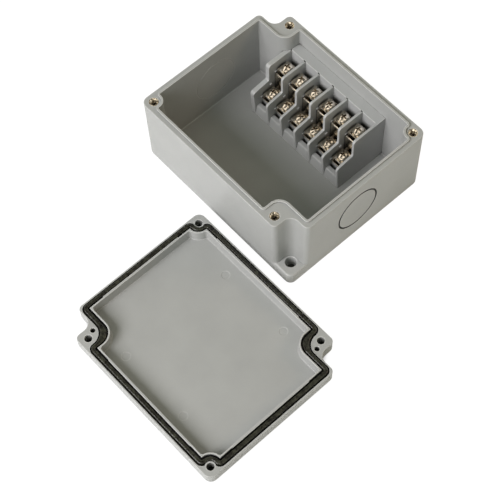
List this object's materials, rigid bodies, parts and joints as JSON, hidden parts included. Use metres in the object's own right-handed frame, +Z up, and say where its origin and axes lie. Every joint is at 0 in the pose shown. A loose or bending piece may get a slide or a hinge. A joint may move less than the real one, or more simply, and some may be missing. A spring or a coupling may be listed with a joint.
{
  "type": "terminal box",
  "caption": "Open moulded terminal box with a stepped terminal block, corner mounting feet, threaded cover inserts, and its sealed cover lying upside down beside it.",
  "frame": {"origin": "middle of the base's flat underside", "axes": "+X along the base's long side towards the corner with the near mounting foot, +Y across towards the wall that carries the terminal block, +Z up out of the base's opening"},
  "size_m": [0.1831, 0.2153, 0.0519],
  "materials": {
    "grey_plastic": "fine satin moulded",
    "grey_block_plastic": "fine satin moulded",
    "seal_rubber": "smooth",
    "brass_insert": "machined",
    "nickel_plated_steel": "bright plated"
  },
  "bodies": {
    "base": {"base_housing": "grey_plastic", "terminal_block": "grey_block_plastic", "insert_1": "brass_insert", "insert_2": "brass_insert", "insert_3": "brass_insert", "insert_4": "brass_insert", "strip_1": "nickel_plated_steel", "strip_2": "nickel_plated_steel", "strip_3": "nickel_plated_steel", "strip_4": "nickel_plated_steel", "strip_5": "nickel_plated_steel", "strip_6": "nickel_plated_steel"},
    "clamp_lower_1_body": {"clamp_lower_1": "nickel_plated_steel"},
    "screw_lower_1_body": {"screw_lower_1": "nickel_plated_steel"},
    "clamp_lower_2_body": {"clamp_lower_2": "nickel_plated_steel"},
    "screw_lower_2_body": {"screw_lower_2": "nickel_plated_steel"},
    "clamp_lower_3_body": {"clamp_lower_3": "nickel_plated_steel"},
    "screw_lower_3_body": {"screw_lower_3": "nickel_plated_steel"},
    "clamp_lower_4_body": {"clamp_lower_4": "nickel_plated_steel"},
    "screw_lower_4_body": {"screw_lower_4": "nickel_plated_steel"},
    "clamp_lower_5_body": {"clamp_lower_5": "nickel_plated_steel"},
    "screw_lower_5_body": {"screw_lower_5": "nickel_plated_steel"},
    "clamp_lower_6_body": {"clamp_lower_6": "nickel_plated_steel"},
    "screw_lower_6_body": {"screw_lower_6": "nickel_plated_steel"},
    "clamp_upper_1_body": {"clamp_upper_1": "nickel_plated_steel"},
    "screw_upper_1_body": {"screw_upper_1": "nickel_plated_steel"},
    "clamp_upper_2_body": {"clamp_upper_2": "nickel_plated_steel"},
    "screw_upper_2_body": {"screw_upper_2": "nickel_plated_steel"},
    "clamp_upper_3_body": {"clamp_upper_3": "nickel_plated_steel"},
    "screw_upper_3_body": {"screw_upper_3": "nickel_plated_steel"},
    "clamp_upper_4_body": {"clamp_upper_4": "nickel_plated_steel"},
    "screw_upper_4_body": {"screw_upper_4": "nickel_plated_steel"},
    "clamp_upper_5_body": {"clamp_upper_5": "nickel_plated_steel"},
    "screw_upper_5_body": {"screw_upper_5": "nickel_plated_steel"},
    "clamp_upper_6_body": {"clamp_upper_6": "nickel_plated_steel"},
    "screw_upper_6_body": {"screw_upper_6": "nickel_plated_steel"},
    "cover": {"cover_shell": "grey_plastic", "cover_gasket": "seal_rubber"}
  },
  "joints": [
    {"name": "clamp_lower_1_lift", "type": "slide", "parent": "base", "child": "clamp_lower_1_body", "axis": [0, 0, 1], "range_m": [-0.00115, 0.0009]},
    {"name": "screw_lower_1_turn", "type": "hinge", "parent": "clamp_lower_1_body", "child": "screw_lower_1_body", "pos_m": [-0.03125, 0.0213, 0.019], "axis": [0, 0, 1], "range_deg": [-691, 541]},
    {"name": "clamp_lower_2_lift", "type": "slide", "parent": "base", "child": "clamp_lower_2_body", "axis": [0, 0, 1], "range_m": [-0.00115, 0.0009]},
    {"name": "screw_lower_2_turn", "type": "hinge", "parent": "clamp_lower_2_body", "child": "screw_lower_2_body", "pos_m": [-0.01935, 0.0213, 0.019], "axis": [0, 0, 1], "range_deg": [-691, 541]},
    {"name": "clamp_lower_3_lift", "type": "slide", "parent": "base", "child": "clamp_lower_3_body", "axis": [0, 0, 1], "range_m": [-0.00115, 0.0009]},
    {"name": "screw_lower_3_turn", "type": "hinge", "parent": "clamp_lower_3_body", "child": "screw_lower_3_body", "pos_m": [-0.00745, 0.0213, 0.019], "axis": [0, 0, 1], "range_deg": [-691, 541]},
    {"name": "clamp_lower_4_lift", "type": "slide", "parent": "base", "child": "clamp_lower_4_body", "axis": [0, 0, 1], "range_m": [-0.00115, 0.0009]},
    {"name": "screw_lower_4_turn", "type": "hinge", "parent": "clamp_lower_4_body", "child": "screw_lower_4_body", "pos_m": [0.00445, 0.0213, 0.019], "axis": [0, 0, 1], "range_deg": [-691, 541]},
    {"name": "clamp_lower_5_lift", "type": "slide", "parent": "base", "child": "clamp_lower_5_body", "axis": [0, 0, 1], "range_m": [-0.00115, 0.0009]},
    {"name": "screw_lower_5_turn", "type": "hinge", "parent": "clamp_lower_5_body", "child": "screw_lower_5_body", "pos_m": [0.01635, 0.0213, 0.019], "axis": [0, 0, 1], "range_deg": [-691, 541]},
    {"name": "clamp_lower_6_lift", "type": "slide", "parent": "base", "child": "clamp_lower_6_body", "axis": [0, 0, 1], "range_m": [-0.00115, 0.0009]},
    {"name": "screw_lower_6_turn", "type": "hinge", "parent": "clamp_lower_6_body", "child": "screw_lower_6_body", "pos_m": [0.02825, 0.0213, 0.019], "axis": [0, 0, 1], "range_deg": [-691, 541]},
    {"name": "clamp_upper_1_lift", "type": "slide", "parent": "base", "child": "clamp_upper_1_body", "axis": [0, 0, 1], "range_m": [-0.00115, 0.0009]},
    {"name": "screw_upper_1_turn", "type": "hinge", "parent": "clamp_upper_1_body", "child": "screw_upper_1_body", "pos_m": [-0.03125, 0.0328, 0.0336], "axis": [0, 0, 1], "range_deg": [-691, 541]},
    {"name": "clamp_upper_2_lift", "type": "slide", "parent": "base", "child": "clamp_upper_2_body", "axis": [0, 0, 1], "range_m": [-0.00115, 0.0009]},
    {"name": "screw_upper_2_turn", "type": "hinge", "parent": "clamp_upper_2_body", "child": "screw_upper_2_body", "pos_m": [-0.01935, 0.0328, 0.0336], "axis": [0, 0, 1], "range_deg": [-691, 541]},
    {"name": "clamp_upper_3_lift", "type": "slide", "parent": "base", "child": "clamp_upper_3_body", "axis": [0, 0, 1], "range_m": [-0.00115, 0.0009]},
    {"name": "screw_upper_3_turn", "type": "hinge", "parent": "clamp_upper_3_body", "child": "screw_upper_3_body", "pos_m": [-0.00745, 0.0328, 0.0336], "axis": [0, 0, 1], "range_deg": [-691, 541]},
    {"name": "clamp_upper_4_lift", "type": "slide", "parent": "base", "child": "clamp_upper_4_body", "axis": [0, 0, 1], "range_m": [-0.00115, 0.0009]},
    {"name": "screw_upper_4_turn", "type": "hinge", "parent": "clamp_upper_4_body", "child": "screw_upper_4_body", "pos_m": [0.00445, 0.0328, 0.0336], "axis": [0, 0, 1], "range_deg": [-691, 541]},
    {"name": "clamp_upper_5_lift", "type": "slide", "parent": "base", "child": "clamp_upper_5_body", "axis": [0, 0, 1], "range_m": [-0.00115, 0.0009]},
    {"name": "screw_upper_5_turn", "type": "hinge", "parent": "clamp_upper_5_body", "child": "screw_upper_5_body", "pos_m": [0.01635, 0.0328, 0.0336], "axis": [0, 0, 1], "range_deg": [-691, 541]},
    {"name": "clamp_upper_6_lift", "type": "slide", "parent": "base", "child": "clamp_upper_6_body", "axis": [0, 0, 1], "range_m": [-0.00115, 0.0009]},
    {"name": "screw_upper_6_turn", "type": "hinge", "parent": "clamp_upper_6_body", "child": "screw_upper_6_body", "pos_m": [0.02825, 0.0328, 0.0336], "axis": [0, 0, 1], "range_deg": [-691, 541]},
    {"name": "cover_lift", "type": "slide", "parent": "base", "child": "cover", "axis": [0, 0, 1], "range_m": [0, 0.06]}
  ],
  "couplings": [
    {"joint": "screw_lower_1_turn", "follows": "clamp_lower_1_lift", "rad_per_m": 10472},
    {"joint": "screw_lower_2_turn", "follows": "clamp_lower_2_lift", "rad_per_m": 10472},
    {"joint": "screw_lower_3_turn", "follows": "clamp_lower_3_lift", "rad_per_m": 10472},
    {"joint": "screw_lower_4_turn", "follows": "clamp_lower_4_lift", "rad_per_m": 10472},
    {"joint": "screw_lower_5_turn", "follows": "clamp_lower_5_lift", "rad_per_m": 10472},
    {"joint": "screw_lower_6_turn", "follows": "clamp_lower_6_lift", "rad_per_m": 10472},
    {"joint": "screw_upper_1_turn", "follows": "clamp_upper_1_lift", "rad_per_m": 10472},
    {"joint": "screw_upper_2_turn", "follows": "clamp_upper_2_lift", "rad_per_m": 10472},
    {"joint": "screw_upper_3_turn", "follows": "clamp_upper_3_lift", "rad_per_m": 10472},
    {"joint": "screw_upper_4_turn", "follows": "clamp_upper_4_lift", "rad_per_m": 10472},
    {"joint": "screw_upper_5_turn", "follows": "clamp_upper_5_lift", "rad_per_m": 10472},
    {"joint": "screw_upper_6_turn", "follows": "clamp_upper_6_lift", "rad_per_m": 10472}
  ]
}
